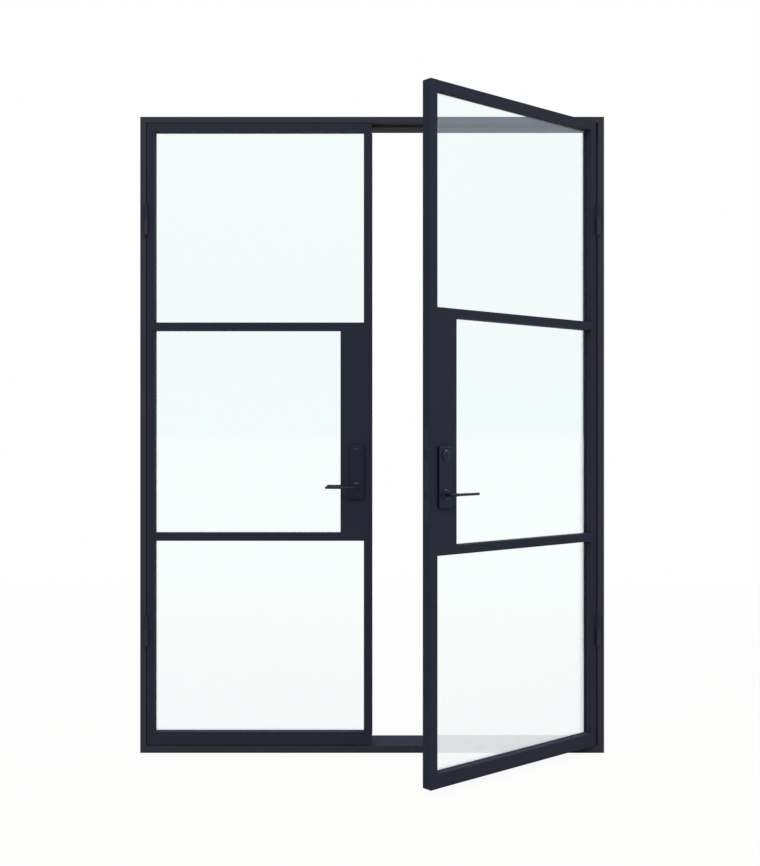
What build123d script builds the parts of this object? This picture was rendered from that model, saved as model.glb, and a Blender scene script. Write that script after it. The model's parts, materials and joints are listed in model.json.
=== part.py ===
from build123d import *
from dataclasses import dataclass
from math import cos, radians, sin
import os

# A pair of slim steel french doors in their frame, without the wall. The left leaf is shut and the
# right leaf stands open towards the viewer. Millimetres, +Z up, +X to the right, +Y away from the
# viewer. The origin is under the middle of the sill.

# Frame
frame_width = 1750
frame_height = 2400
frame_depth = 150
frame_face = 22
sill_height = 27
frame_wall = 2
fixing_radius = 4.5
fixing_setback = 95
fixing_end_distance = 250
fixing_spacing = 600

# Gaps round the leaves
hinge_gap = 2.5
head_gap = 2
sill_gap = 3
meeting_gap = 3
right_open_angle = 40.3

# Door stops and seals
stop_height = 10
stop_depth = 15
stop_standoff = 3
seal_width = 6
seal_clearance = 0.5
sweep_width = 8
sweep_height = 2
meeting_strip_width = 5
meeting_strip_height = 1
meeting_strip_inset = 2

# Leaf frame
leaf_thickness = 40
member_face = 30
bottom_rail_face = 48
leaf_wall = 2
glazing_leg = 10
leg_depth = 16
lower_muntin_drop = 203
muntin_pitch = 794
panel_past_spindle = 62
arris_radius = 1
vent_radius = 3

# Glazing
pane_thickness = 6
pane_edge_gap = 3
gasket_lip = 1.5
bead_wall = 1.2
mitre_gap = 0.2

# Hinges
hinge_length = 114
lower_hinge_rise = 432
upper_hinge_drop = 367
pin_standoff = 10
pin_radius = 5
knuckle_radius = 8
knuckle_end_round = 2
knuckle_cap = 8
hinge_foot_width = 6
hinge_foot_setback = 0.6
washer_radius = 7.5
washer_thickness = 2
washer_gap = 0.2

# Heights of the lever and cylinder, and how far they sit from the meeting edge
backset = 56
lever_height = 1003
lock_centres = 130

# Handle plates
plate_width = 54
plate_below_lever = 44
plate_above_cylinder = 29
plate_thickness = 12
plate_skin = 4
plate_rim = 3
plate_corner = 5
plate_edge = 2
boss_radius = 18
boss_height = 4
boss_bevel_width = 4.2
boss_bevel_height = 1.9
guide_wall = 4
screw_radius = 2.5
screw_head_radius = 4.5
screw_head_height = 3
screw_socket_depth = 1.5
screw_post_radius = 5
screw_grip = 6
screw_above_lever = 29.5
screw_below_cylinder = 44.5

# Levers
lever_reach = 118
lever_standoff = 50
journal_radius = 9
journal_proud = 2
journal_setback = 1
journal_edge = 1.2
neck_radius = 6
bend_radius = 12
bend_run = 4
lever_root_half_depth = 5.7
lever_root_half_height = 5.1
lever_tip_half_depth = 5
lever_tip_half_height = 4.6
lever_tip_round = 1.5
spindle_width = 8
spindle_grip = 14
spindle_hole_radius = 7

# Cylinder and turn
cylinder_radius = 13
cylinder_proud = 1
cylinder_edge = 0.8
plug_radius = 7.5
key_slot_width = 2.4
key_slot_height = 9
key_slot_depth = 12
turn_collar_radius = 10
turn_collar_length = 4
turn_width = 32
turn_thickness = 9
turn_length = 16
turn_round = 3

# Lock case and bolts
case_below_lever = 78
case_above_cylinder = 72
case_past_spindle = 29
case_thickness = 16
forend_overhang = 15
forend_width = 20
forend_thickness = 3
bolt_thickness = 12
bolt_setback = 0.5
latch_height = 20
latch_length = 40
latch_travel = 11
deadbolt_height = 30
deadbolt_length = 36
deadbolt_travel = 20
bolt_end_round = 2
rod_radius = 5
rod_engagement = 40
rod_setback = 0.5
keep_wall = 2.2
keep_length = 8

# Fits
running_clearance = 0.05
seat_clearance = 0.1
slide_clearance = 0.4
pass_clearance = 0.5
cut_overrun = 1

# Sizes that follow from the ones above
fixing_lower = (fixing_end_distance, fixing_end_distance + fixing_spacing)
fixing_heights = fixing_lower + tuple(frame_height - height for height in fixing_lower)
half_width = frame_width / 2
half_depth = frame_depth / 2
pin_x = half_width - frame_face - hinge_gap / 2
pin_y = -half_depth - pin_standoff
leaf_width = half_width - frame_face - hinge_gap - meeting_gap / 2
leaf_foot = sill_height + sill_gap
leaf_top = frame_height - frame_face - head_gap
leaf_height = leaf_top - leaf_foot
tube_width = member_face - glazing_leg
lock_u = leaf_width - backset
mid_depth = leaf_thickness / 2
gasket_depth = 2 * gasket_lip + pane_thickness
bead_depth = leaf_thickness - leg_depth - gasket_depth
lower_muntin_foot = lever_height - lower_muntin_drop
upper_muntin_foot = lower_muntin_foot + muntin_pitch
lower_muntin_top = lower_muntin_foot + member_face
upper_muntin_top = upper_muntin_foot + member_face
hinge_centres = (leaf_foot + lower_hinge_rise, leaf_top - upper_hinge_drop)
knuckle_length = (hinge_length - washer_thickness - washer_gap) / 2
cylinder_height = lever_height + lock_centres
plate_foot = lever_height - plate_below_lever
plate_top = cylinder_height + plate_above_cylinder
plate_height = plate_top - plate_foot
plate_height_centre = (plate_foot + plate_top) / 2
screw_heights = (lever_height + screw_above_lever, cylinder_height - screw_below_cylinder)
boss_top = plate_thickness + boss_height
case_foot = lever_height - case_below_lever
case_top = cylinder_height + case_above_cylinder
forend_foot = case_foot - forend_overhang
forend_top = case_top + forend_overhang
lock_panel_reach = backset + panel_past_spindle
stop_front = -half_depth + leaf_thickness + stop_standoff
seal_height = stop_standoff - seal_clearance
rod_u = leaf_width - tube_width / 2


@dataclass
class Leaf:
    """One door leaf: its X runs from the hinge edge to the meeting edge, its Z is up."""

    name: str
    side: int
    plane: Plane

    def across(self, u):
        """Plane square to the leaf's length at u: its X is the leaf's own Y, its Y is up."""
        origin = self.plane.from_local_coords((u, 0, 0))
        return Plane(origin, x_dir=self.plane.y_dir, z_dir=self.plane.x_dir)

    def outward(self, u, height, face):
        """Plane on the front (face 1) or back (face -1) surface, looking out from the leaf."""
        depth = 0 if face > 0 else leaf_thickness
        origin = self.plane.from_local_coords((u, self.side * depth, height))
        normal = self.plane.y_dir * (-self.side * face)
        return Plane(origin, x_dir=Vector(0, 0, 1).cross(normal), z_dir=normal)

    def hinge_sign(self, face):
        """Direction of the hinge edge along the X of an outward plane."""
        return -self.side * face


def door_leaf(name, side, angle):
    """Leaf placed on its hinge pin, opened by an angle in degrees about +Z."""
    pin = Vector(-side * pin_x, pin_y, 0)
    along = Vector(side * cos(radians(angle)), side * sin(radians(angle)), 0)
    across = Vector(0, 0, 1).cross(along)
    corner = pin + along * (hinge_gap / 2) + across * (side * pin_standoff)
    return Leaf(name, side, Plane(corner, x_dir=along, z_dir=(0, 0, 1)))


left = door_leaf("left", 1, 0)
right = door_leaf("right", -1, right_open_angle)
leaves = (left, right)

os.makedirs("parts", exist_ok=True)


def write(part, name):
    """Labels a finished piece and writes it as its own file."""
    part.label = name
    export_step(part, f"parts/{name}.step")


def outline_face(plane, points, inset=0):
    """Closed outline as a face on a plane, drawn in by an even inset."""
    with BuildSketch(plane) as face:
        with BuildLine():
            Polyline(*points, close=True)
        make_face()
        if inset:
            offset(amount=-inset, kind=Kind.INTERSECTION)
    return face.sketch


def gather(pieces):
    """Several finished pieces held together as one group of separate solids."""
    with BuildPart() as group:
        add(pieces)
    return group.part


def span_box(side, u, depth, height, mode=Mode.ADD):
    """Box between two values of u, of depth behind the front face and of height."""
    with Locations((sum(u) / 2, side * sum(depth) / 2, sum(height) / 2)):
        Box(abs(u[1] - u[0]), abs(depth[1] - depth[0]), abs(height[1] - height[0]), mode=mode)


# Frame: hollow box sections, mitred where the jambs meet the head

def frame_jamb(sign):
    """Jamb on the left (sign -1) or right (sign 1), with its wall fixing holes."""
    outer = sign * half_width
    inner = sign * (half_width - frame_face)
    fixing_y = -half_depth + fixing_setback
    with BuildPart() as jamb:
        with BuildSketch():
            with Locations(((outer + inner) / 2, 0)):
                Rectangle(frame_face, frame_depth)
                Rectangle(frame_face - 2 * frame_wall, frame_depth - 2 * frame_wall, mode=Mode.SUBTRACT)
        extrude(amount=frame_height)
        with BuildSketch(Plane.XZ.offset(-half_depth)):
            with BuildLine():
                Polyline((outer, frame_height), (inner, frame_height), (inner, frame_height - frame_face),
                         close=True)
            make_face()
        extrude(amount=frame_depth, mode=Mode.SUBTRACT)
        with BuildSketch(Plane.YZ.offset(sign * half_width)):
            for height in fixing_heights:
                with Locations((fixing_y, height)):
                    Circle(fixing_radius)
        extrude(amount=-sign * frame_face, mode=Mode.SUBTRACT)
    return jamb.part


def bolt_hole(height, radius, length):
    """Upright hole over the left leaf's shoot bolt, cut in the part that is being built."""
    centre = left.plane.from_local_coords((rod_u, mid_depth, height))
    with Locations(centre):
        Cylinder(radius, length, mode=Mode.SUBTRACT)


keep_radius = rod_radius + pass_clearance + keep_wall

with BuildPart() as frame_head:
    with BuildSketch(Plane.YZ.offset(-half_width)):
        with Locations((0, frame_height - frame_face / 2)):
            Rectangle(frame_depth, frame_face)
            Rectangle(frame_depth - 2 * frame_wall, frame_face - 2 * frame_wall, mode=Mode.SUBTRACT)
    extrude(amount=frame_width)
    for corner_sign in (-1, 1):
        with BuildSketch(Plane.XZ.offset(-half_depth)):
            with BuildLine():
                Polyline((corner_sign * half_width, frame_height),
                         (corner_sign * half_width, frame_height - frame_face),
                         (corner_sign * (half_width - frame_face), frame_height - frame_face), close=True)
            make_face()
        extrude(amount=frame_depth, mode=Mode.SUBTRACT)
    bolt_hole(frame_height - frame_face, keep_radius + seat_clearance, 2 * frame_wall + cut_overrun)

with BuildPart() as frame_sill:
    with BuildSketch(Plane.YZ.offset(frame_face - half_width)):
        with Locations((0, sill_height / 2)):
            Rectangle(frame_depth, sill_height)
            Rectangle(frame_depth - 2 * frame_wall, sill_height - 2 * frame_wall, mode=Mode.SUBTRACT)
    extrude(amount=frame_width - 2 * frame_face)
    bolt_hole(sill_height, keep_radius + seat_clearance, 2 * frame_wall + cut_overrun)

write(frame_jamb(-1), "frame_jamb_left")
write(frame_jamb(1), "frame_jamb_right")
write(frame_head.part, "frame_head")
write(frame_sill.part, "frame_sill")

# Stops behind the leaves, and the half-round seals that they carry

clear_half = half_width - frame_face
soffit = frame_height - frame_face
stop_y = stop_front + stop_depth / 2

with BuildPart() as door_stops:
    for stop_sign in (-1, 1):
        with Locations((stop_sign * (clear_half - stop_height / 2), stop_y, (sill_height + soffit) / 2)):
            Box(stop_height, stop_depth, soffit - sill_height)
    with Locations((0, stop_y, soffit - stop_height / 2)):
        Box(2 * (clear_half - stop_height - seat_clearance), stop_depth, stop_height)

write(door_stops.part, "door_stops")


def seal_section(plane):
    """Half-oval section that stands out along the plane's +Y from its X axis."""
    with BuildSketch(plane) as bulb:
        Ellipse(seal_width / 2, seal_height)
        with Locations((0, -seal_height)):
            Rectangle(seal_width + cut_overrun, 2 * seal_height, mode=Mode.SUBTRACT)
    return bulb.sketch


with BuildPart() as frame_seals:
    for seal_sign in (-1, 1):
        seal_foot = (seal_sign * (clear_half - stop_height / 2), stop_front, sill_height)
        extrude(seal_section(Plane(seal_foot, x_dir=(-1, 0, 0), z_dir=(0, 0, 1))),
                amount=soffit - sill_height)
    head_seal_start = (stop_height - clear_half, stop_front, soffit - stop_height / 2)
    extrude(seal_section(Plane(head_seal_start, x_dir=(0, 0, 1), z_dir=(1, 0, 0))),
            amount=2 * (clear_half - stop_height))

write(frame_seals.part, "frame_seals")

# Sleeves in the head and the sill that take the left leaf's shoot bolts

with BuildPart() as bolt_keeps:
    for keep_mouth, keep_way in ((soffit, 1), (sill_height, -1)):
        keep_spot = left.plane.from_local_coords((rod_u, mid_depth, keep_mouth))
        with BuildSketch(Plane(keep_spot, z_dir=(0, 0, 1))):
            Circle(keep_radius)
            Circle(keep_radius - keep_wall, mode=Mode.SUBTRACT)
        extrude(amount=keep_way * keep_length)

write(bolt_keeps.part, "bolt_keeps")

# Barrel hinges: the lower knuckle is welded to the jamb and holds the pin, the upper one to the leaf


def knuckle(part_plane, foot_way, foot_side, base, blind_from_top):
    """One knuckle on its pin axis with the foot that is welded to the member behind it."""
    bore = pin_radius + running_clearance
    foot_centre = foot_way * (hinge_foot_setback + hinge_gap / 2 + hinge_foot_width / 2)
    with BuildPart() as barrel:
        with BuildSketch(part_plane.offset(base)):
            Circle(knuckle_radius)
        extrude(amount=knuckle_length)
        outer_end = barrel.edges().filter_by(GeomType.CIRCLE).sort_by(Axis.Z)[-1 if blind_from_top else 0]
        fillet(outer_end, knuckle_end_round)
        with BuildSketch(part_plane.offset(base + knuckle_end_round)):
            with Locations((foot_centre, foot_side * pin_standoff / 2)):
                Rectangle(hinge_foot_width, pin_standoff)
        extrude(amount=knuckle_length - 2 * knuckle_end_round)
        bore_foot = base if blind_from_top else base + knuckle_cap
        with BuildSketch(part_plane.offset(bore_foot)):
            Circle(bore)
        extrude(amount=knuckle_length - knuckle_cap, mode=Mode.SUBTRACT)
    return barrel.part


def pin_plane(leaf):
    """Plane on the foot of a leaf's hinge pin axis, lined up with the leaf."""
    foot = leaf.plane.from_local_coords((-hinge_gap / 2, -leaf.side * pin_standoff, 0))
    return Plane(foot, x_dir=leaf.plane.x_dir, z_dir=(0, 0, 1))


def frame_pin_plane(leaf):
    """Plane on the foot of a leaf's hinge pin axis, lined up with the frame."""
    return Plane(pin_plane(leaf).origin, x_dir=(leaf.side, 0, 0), z_dir=(0, 0, 1))


frame_knuckles = [
    knuckle(frame_pin_plane(leaf), -1, leaf.side, centre - hinge_length / 2, False)
    for leaf in leaves
    for centre in hinge_centres
]

with BuildPart() as hinge_pins:
    for leaf in leaves:
        for centre in hinge_centres:
            pin_foot = centre - hinge_length / 2 + knuckle_cap
            with BuildSketch(frame_pin_plane(leaf).offset(pin_foot)):
                Circle(pin_radius)
            extrude(amount=hinge_length - 2 * knuckle_cap - washer_gap)

with BuildPart() as hinge_washers:
    for leaf in leaves:
        for centre in hinge_centres:
            with BuildSketch(frame_pin_plane(leaf).offset(centre - hinge_length / 2 + knuckle_length)):
                Circle(washer_radius)
                Circle(pin_radius + running_clearance, mode=Mode.SUBTRACT)
            extrude(amount=washer_thickness)

write(gather(frame_knuckles), "frame_knuckles")
write(hinge_pins.part, "hinge_pins")
write(hinge_washers.part, "hinge_washers")

# Leaf members: hollow L sections round the edge and T sections between the lites


def stile_outline(leaf, edge, inward):
    """Section of a stile from its outer edge inwards, with the glazing leg at the front."""
    steps = ((0, 0), (member_face, 0), (member_face, leg_depth), (tube_width, leg_depth),
             (tube_width, leaf_thickness), (0, leaf_thickness))
    return [(edge + inward * u, leaf.side * depth) for u, depth in steps]


def rail_outline(leaf, edge, inward, face):
    """Section of a rail from its outer edge inwards, with the glazing leg at the front."""
    back = face - glazing_leg
    steps = ((0, 0), (face, 0), (face, leg_depth), (back, leg_depth), (back, leaf_thickness),
             (0, leaf_thickness))
    return [(leaf.side * depth, edge + inward * height) for height, depth in steps]


def muntin_outline(leaf, foot):
    """T section of a muntin, with a leg at the front on both sides of its stem."""
    steps = ((0, 0), (member_face, 0), (member_face, leg_depth), (tube_width, leg_depth),
             (tube_width, leaf_thickness), (glazing_leg, leaf_thickness), (glazing_leg, leg_depth),
             (0, leg_depth))
    return [(leaf.side * depth, foot + height) for height, depth in steps]


def stile(leaf, edge, inward):
    """Full-height stile, capped at both ends, with its outer arrises rounded."""
    outline = stile_outline(leaf, edge, inward)
    along = Axis(leaf.plane.origin, leaf.plane.x_dir)
    with BuildPart(leaf.plane) as member:
        extrude(outline_face(leaf.plane.offset(leaf_foot), outline), amount=leaf_height)
        outer = member.edges().filter_by(Axis.Z).group_by(along)[0 if inward > 0 else -1]
        fillet(outer, arris_radius)
        extrude(outline_face(leaf.plane.offset(leaf_foot + leaf_wall), outline, leaf_wall),
                amount=leaf_height - 2 * leaf_wall, mode=Mode.SUBTRACT)
        with Locations((edge + inward * tube_width / 2, leaf.side * mid_depth, leaf_foot)):
            Cylinder(vent_radius, 2 * leaf_wall + cut_overrun, mode=Mode.SUBTRACT)
    return member.part


def cross_member(leaf, outline, foot, top, outer_group=None):
    """Member between the stiles, its ends coped over the stiles' glazing legs."""
    length = leaf_width - 2 * tube_width
    along = Axis(leaf.plane.origin, leaf.plane.x_dir)
    with BuildPart(leaf.plane) as member:
        extrude(outline_face(leaf.across(tube_width), outline), amount=length)
        if outer_group is not None:
            outer = member.edges().filter_by(along).group_by(Axis.Z)[outer_group]
            fillet(outer, arris_radius)
        extrude(outline_face(leaf.across(tube_width), outline, leaf_wall), amount=length,
                mode=Mode.SUBTRACT)
        for end in (tube_width, leaf_width - member_face):
            span_box(leaf.side, (end, end + glazing_leg), (0, leg_depth), (foot, top), Mode.SUBTRACT)
    return member.part


def case_window(leaf):
    """Slot for the lock case, cut from the meeting edge inwards in the part that is being built."""
    reach = member_face + 2 * leaf_wall
    half = case_thickness / 2 + pass_clearance
    heights = (case_foot - pass_clearance, case_top + pass_clearance)
    edge = leaf_width + cut_overrun
    span_box(leaf.side, (edge, leaf_width - reach), (mid_depth - half, mid_depth + half), heights,
             Mode.SUBTRACT)


def lock_stile(leaf):
    """Lock stile with the slots for the lock's forend and case, and on the left the bolt guides."""
    half_forend = forend_width / 2 + seat_clearance
    plain_stile = stile(leaf, leaf_width, -1)
    with BuildPart(leaf.plane) as member:
        add(leaf.plane.to_local_coords(plain_stile))
        case_window(leaf)
        span_box(leaf.side, (leaf_width + cut_overrun, leaf_width - forend_thickness),
                 (mid_depth - half_forend, mid_depth + half_forend),
                 (forend_foot - seat_clearance, forend_top + seat_clearance), Mode.SUBTRACT)
        if leaf is left:
            for end in (leaf_foot, leaf_top):
                with Locations((rod_u, leaf.side * mid_depth, end)):
                    Cylinder(rod_radius + slide_clearance, 2 * leaf_wall + cut_overrun, mode=Mode.SUBTRACT)
    return member.part


def through_hole(leaf, height, radius):
    """Hole through the leaf's thickness on the lock's upright centre line."""
    with Locations(Location((lock_u, leaf.side * mid_depth, height), (90, 0, 0))):
        Cylinder(radius, leaf_thickness + 2 * cut_overrun, mode=Mode.SUBTRACT)


def lock_panel(leaf):
    """Hollow steel panel between the muntins, stepped like the stile so that both faces lie flush."""
    front_start = leaf_width - member_face
    back_start = leaf_width - tube_width
    front_end = leaf_width - lock_panel_reach
    back_end = front_end + glazing_leg
    steps = ((front_start, 0), (front_end, 0), (front_end, leg_depth), (back_end, leg_depth),
             (back_end, leaf_thickness), (back_start, leaf_thickness), (back_start, leg_depth),
             (front_start, leg_depth))
    outline = [(u, leaf.side * depth) for u, depth in steps]
    foot = lower_muntin_top - glazing_leg
    height = upper_muntin_foot + glazing_leg - foot
    with BuildPart(leaf.plane) as panel:
        extrude(outline_face(leaf.plane.offset(foot), outline), amount=height)
        extrude(outline_face(leaf.plane.offset(foot), outline, leaf_wall), amount=height,
                mode=Mode.SUBTRACT)
        for end in (foot, upper_muntin_foot):
            span_box(leaf.side, (front_end, back_start), (0, leg_depth), (end, end + glazing_leg),
                     Mode.SUBTRACT)
        case_window(leaf)
        through_hole(leaf, lever_height, spindle_hole_radius)
        through_hole(leaf, cylinder_height, cylinder_radius + pass_clearance)
        for screw_height in screw_heights:
            through_hole(leaf, screw_height, screw_radius + pass_clearance)
    return panel.part


for leaf in leaves:
    write(stile(leaf, 0, 1), f"{leaf.name}_hinge_stile")
    write(lock_stile(leaf), f"{leaf.name}_lock_stile")
    write(lock_panel(leaf), f"{leaf.name}_lock_panel")
    top_section = rail_outline(leaf, leaf_top, -1, member_face)
    write(cross_member(leaf, top_section, leaf_top - member_face, leaf_top, -1), f"{leaf.name}_top_rail")
    bottom_section = rail_outline(leaf, leaf_foot, 1, bottom_rail_face)
    write(cross_member(leaf, bottom_section, leaf_foot, leaf_foot + bottom_rail_face, 0),
          f"{leaf.name}_bottom_rail")
    for level, muntin_foot in (("lower", lower_muntin_foot), ("upper", upper_muntin_foot)):
        muntin_section = muntin_outline(leaf, muntin_foot)
        write(cross_member(leaf, muntin_section, muntin_foot, muntin_foot + member_face),
              f"{leaf.name}_{level}_muntin")

# Glazing: the pane in its U gasket, and the mitred beads that hold both from the back

lites = {
    "bottom": ((member_face, leaf_width - member_face), (leaf_foot + bottom_rail_face, lower_muntin_foot)),
    "middle": ((member_face, leaf_width - lock_panel_reach), (lower_muntin_top, upper_muntin_foot)),
    "top": ((member_face, leaf_width - member_face), (upper_muntin_top, leaf_top - member_face)),
}


def grown(span, amount):
    """Span with both ends moved out by an amount."""
    return (span[0] - amount, span[1] + amount)


def pane(leaf, lite):
    """Sheet of glass that laps the glazing leg all round, with a gap at the tubes."""
    lap = glazing_leg - pane_edge_gap
    front = leg_depth + gasket_lip
    with BuildPart(leaf.plane) as glass:
        span_box(leaf.side, grown(lite[0], lap), (front, front + pane_thickness), grown(lite[1], lap))
    return glass.part


def gasket(leaf, lite):
    """U-shaped rubber frame round a pane's edge, level with the sight line."""
    lap = glazing_leg - pane_edge_gap
    front = leg_depth + gasket_lip
    with BuildPart(leaf.plane) as rubber:
        span_box(leaf.side, grown(lite[0], glazing_leg), (leg_depth, leg_depth + gasket_depth),
                 grown(lite[1], glazing_leg))
        span_box(leaf.side, lite[0], (leg_depth, leg_depth + gasket_depth), lite[1], Mode.SUBTRACT)
        span_box(leaf.side, grown(lite[0], lap), (front, front + pane_thickness), grown(lite[1], lap),
                 Mode.SUBTRACT)
    return rubber.part


def corners(lite, amount):
    """Corners of a lite moved out by an amount, in turn round the lite."""
    (u0, u1), (z0, z1) = grown(lite[0], amount), grown(lite[1], amount)
    return ((u0, z0), (u1, z0), (u1, z1), (u0, z1))


side_ways = ((1, 0), (0, 1), (-1, 0), (0, -1))


def bead_outline(lite, index, inset):
    """Mitred outline of the bead on one side of a lite, its long edges drawn in by an inset."""
    outer = corners(lite, glazing_leg - inset)
    inner = corners(lite, inset)
    following = (index + 1) % len(side_ways)
    shift = Vector(*side_ways[index]) * (mitre_gap / 2)
    return (Vector(*outer[index]) + shift, Vector(*outer[following]) - shift,
            Vector(*inner[following]) - shift, Vector(*inner[index]) + shift)


def bead_bar(leaf, lite, index):
    """One hollow bead along a side of a lite, mitred at both ends."""
    nearest = leaf_thickness - bead_depth
    with BuildPart() as bar:
        for inset, mode in ((0, Mode.ADD), (bead_wall, Mode.SUBTRACT)):
            ring = bead_outline(lite, index, inset)
            front = leaf.plane.from_local_coords((0, leaf.side * (nearest + inset), 0))
            upright = Plane(front, x_dir=leaf.plane.x_dir, z_dir=-leaf.plane.y_dir)
            extrude(outline_face(upright, ring), amount=-leaf.side * (bead_depth - 2 * inset), mode=mode)
    return bar.part


for leaf in leaves:
    gaskets = [gasket(leaf, lite) for lite in lites.values()]
    beads = [
        bead_bar(leaf, lite, index)
        for lite in lites.values()
        for index in range(len(side_ways))
    ]
    write(gather(gaskets), f"{leaf.name}_glazing_gaskets")
    write(gather(beads), f"{leaf.name}_glazing_beads")
    for level, lite in lites.items():
        write(pane(leaf, lite), f"{leaf.name}_{level}_pane")

# Leaf seals: a sweep under the bottom rail, and the left leaf's strip in the meeting edge

for leaf in leaves:
    with BuildPart(leaf.plane) as leaf_seals:
        half_sweep = sweep_width / 2
        span_box(leaf.side, (tube_width, leaf_width - tube_width),
                 (mid_depth - half_sweep, mid_depth + half_sweep), (leaf_foot - sweep_height, leaf_foot))
        if leaf is left:
            strip_back = leaf_thickness - meeting_strip_inset
            span_box(leaf.side, (leaf_width, leaf_width + meeting_strip_height),
                     (strip_back - meeting_strip_width, strip_back),
                     (leaf_foot + member_face, leaf_top - member_face))
    write(leaf_seals.part, f"{leaf.name}_leaf_seals")

# Upper hinge knuckles, welded to the hinge stiles

for leaf in leaves:
    leaf_knuckles = [
        knuckle(pin_plane(leaf), 1, leaf.side, centre + hinge_length / 2 - knuckle_length, True)
        for centre in hinge_centres
    ]
    write(gather(leaf_knuckles), f"{leaf.name}_leaf_knuckles")

# Handle plates: hollow shells with a round boss for the cylinder and one for the lever


def handle_plate(leaf, face):
    """Plate on one face of the leaf, with its bosses, guides and screw posts."""
    base = leaf.outward(lock_u, 0, face)
    bores = ((lever_height, journal_radius + running_clearance),
             (cylinder_height, cylinder_radius + running_clearance))
    with BuildPart() as plate:
        with BuildSketch(base):
            with Locations((0, plate_height_centre)):
                RectangleRounded(plate_width, plate_height, plate_corner)
        extrude(amount=plate_thickness)
        fillet(plate.faces().sort_by(Axis(base.origin, base.z_dir))[-1].edges(), plate_edge)
        with BuildSketch(base):
            with Locations((0, plate_height_centre)):
                RectangleRounded(plate_width - 2 * plate_rim, plate_height - 2 * plate_rim,
                                 plate_corner - plate_rim)
        extrude(amount=plate_thickness - plate_skin, mode=Mode.SUBTRACT)
        with BuildSketch(base.offset(plate_thickness)):
            for height, bore in bores:
                with Locations((0, height)):
                    Circle(boss_radius)
        extrude(amount=boss_height - boss_bevel_height)
        bevel_foot = base.offset(boss_top - boss_bevel_height)
        with Locations(*(bevel_foot.location * Location((0, height, 0)) for height, bore in bores)):
            Cone(boss_radius, boss_radius - boss_bevel_width, boss_bevel_height,
                 align=(Align.CENTER, Align.CENTER, Align.MIN))
        with BuildSketch(base):
            for height, bore in bores:
                with Locations((0, height)):
                    Circle(bore + guide_wall)
            for height in screw_heights:
                with Locations((0, height)):
                    Circle(screw_post_radius)
        extrude(amount=plate_thickness)
        with BuildSketch(base):
            for height, bore in bores:
                with Locations((0, height)):
                    Circle(bore)
        extrude(amount=boss_top, mode=Mode.SUBTRACT)
        with BuildSketch(base):
            for height in screw_heights:
                with Locations((0, height)):
                    Circle(screw_radius + seat_clearance)
        extrude(amount=plate_thickness if face < 0 else screw_grip + seat_clearance, mode=Mode.SUBTRACT)
        if face < 0:
            with BuildSketch(base.offset(plate_thickness - screw_head_height)):
                for height in screw_heights:
                    with Locations((0, height)):
                        Circle(screw_head_radius + seat_clearance)
            extrude(amount=screw_head_height, mode=Mode.SUBTRACT)
    return plate.part


def plate_screws(leaf):
    """Two through screws from the back plate into the posts of the front plate."""
    base = leaf.outward(lock_u, 0, -1)
    shank = plate_thickness + leaf_thickness + screw_grip
    with BuildPart() as screws:
        with BuildSketch(base.offset(plate_thickness)):
            for height in screw_heights:
                with Locations((0, height)):
                    Circle(screw_radius)
        extrude(amount=-shank)
        with BuildSketch(base.offset(plate_thickness)):
            for height in screw_heights:
                with Locations((0, height)):
                    Circle(screw_head_radius)
        extrude(amount=-screw_head_height)
        with BuildSketch(base.offset(plate_thickness)):
            for height in screw_heights:
                with Locations((0, height)):
                    RegularPolygon(screw_radius, 6)
        extrude(amount=-screw_socket_depth, mode=Mode.SUBTRACT)
    return screws.part


# Levers: a round neck, a bend and a bar that tapers a little to its tip


def lever(leaf, face):
    """Lever on one face of the leaf, its bar pointing to the hinges."""
    base = leaf.outward(lock_u, lever_height, face)
    way = leaf.hinge_sign(face)
    bar_way = base.x_dir * way
    bend_start = base.offset(lever_standoff - bend_radius)
    bend_axis = Axis(bend_start.from_local_coords((way * bend_radius, 0, 0)), base.y_dir * way)
    bend_end = base.from_local_coords((way * bend_radius, 0, lever_standoff))
    tip = base.from_local_coords((way * lever_reach, 0, lever_standoff))
    with BuildPart() as handle:
        with BuildSketch(base.offset(journal_setback)):
            Circle(journal_radius)
        extrude(amount=boss_top + journal_proud - journal_setback)
        fillet(handle.edges().filter_by(GeomType.CIRCLE).sort_by(Axis(base.origin, base.z_dir))[-1],
               journal_edge)
        with BuildSketch(base.offset(journal_setback)):
            Circle(neck_radius)
        extrude(amount=lever_standoff - bend_radius - journal_setback)
        with BuildSketch(bend_start):
            Circle(neck_radius)
        revolve(axis=bend_axis, revolution_arc=90)
        with BuildSketch(Plane(bend_end, x_dir=base.z_dir, z_dir=bar_way)):
            Circle(neck_radius)
        extrude(amount=bend_run)
        with BuildSketch(Plane(bend_end, x_dir=base.z_dir, z_dir=bar_way)):
            Ellipse(lever_root_half_depth, lever_root_half_height)
        with BuildSketch(Plane(tip, x_dir=base.z_dir, z_dir=bar_way)):
            Ellipse(lever_tip_half_depth, lever_tip_half_height)
        loft()
        fillet(handle.faces().sort_by(Axis(base.origin, bar_way))[-1].edges(), lever_tip_round)
        with BuildSketch(base.offset(journal_setback)):
            Rectangle(spindle_width + 2 * seat_clearance, spindle_width + 2 * seat_clearance)
        extrude(amount=spindle_grip, mode=Mode.SUBTRACT)
    return handle.part


def spindle(leaf):
    """Square bar that joins the front and back levers through the lock."""
    reach = journal_setback + spindle_grip - seat_clearance
    with BuildPart() as bar:
        with BuildSketch(leaf.outward(lock_u, lever_height, -1).offset(reach)):
            Rectangle(spindle_width, spindle_width)
        extrude(amount=-(leaf_thickness + 2 * reach))
    return bar.part


for leaf in leaves:
    for face, face_name in ((1, "front"), (-1, "back")):
        write(handle_plate(leaf, face), f"{leaf.name}_plate_{face_name}")
        write(lever(leaf, face), f"{leaf.name}_lever_{face_name}")
    write(spindle(leaf), f"{leaf.name}_spindle")
    write(plate_screws(leaf), f"{leaf.name}_plate_screws")

# Cylinder on the right leaf, with its turning plug, and the fixed blank in its place on the left

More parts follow.
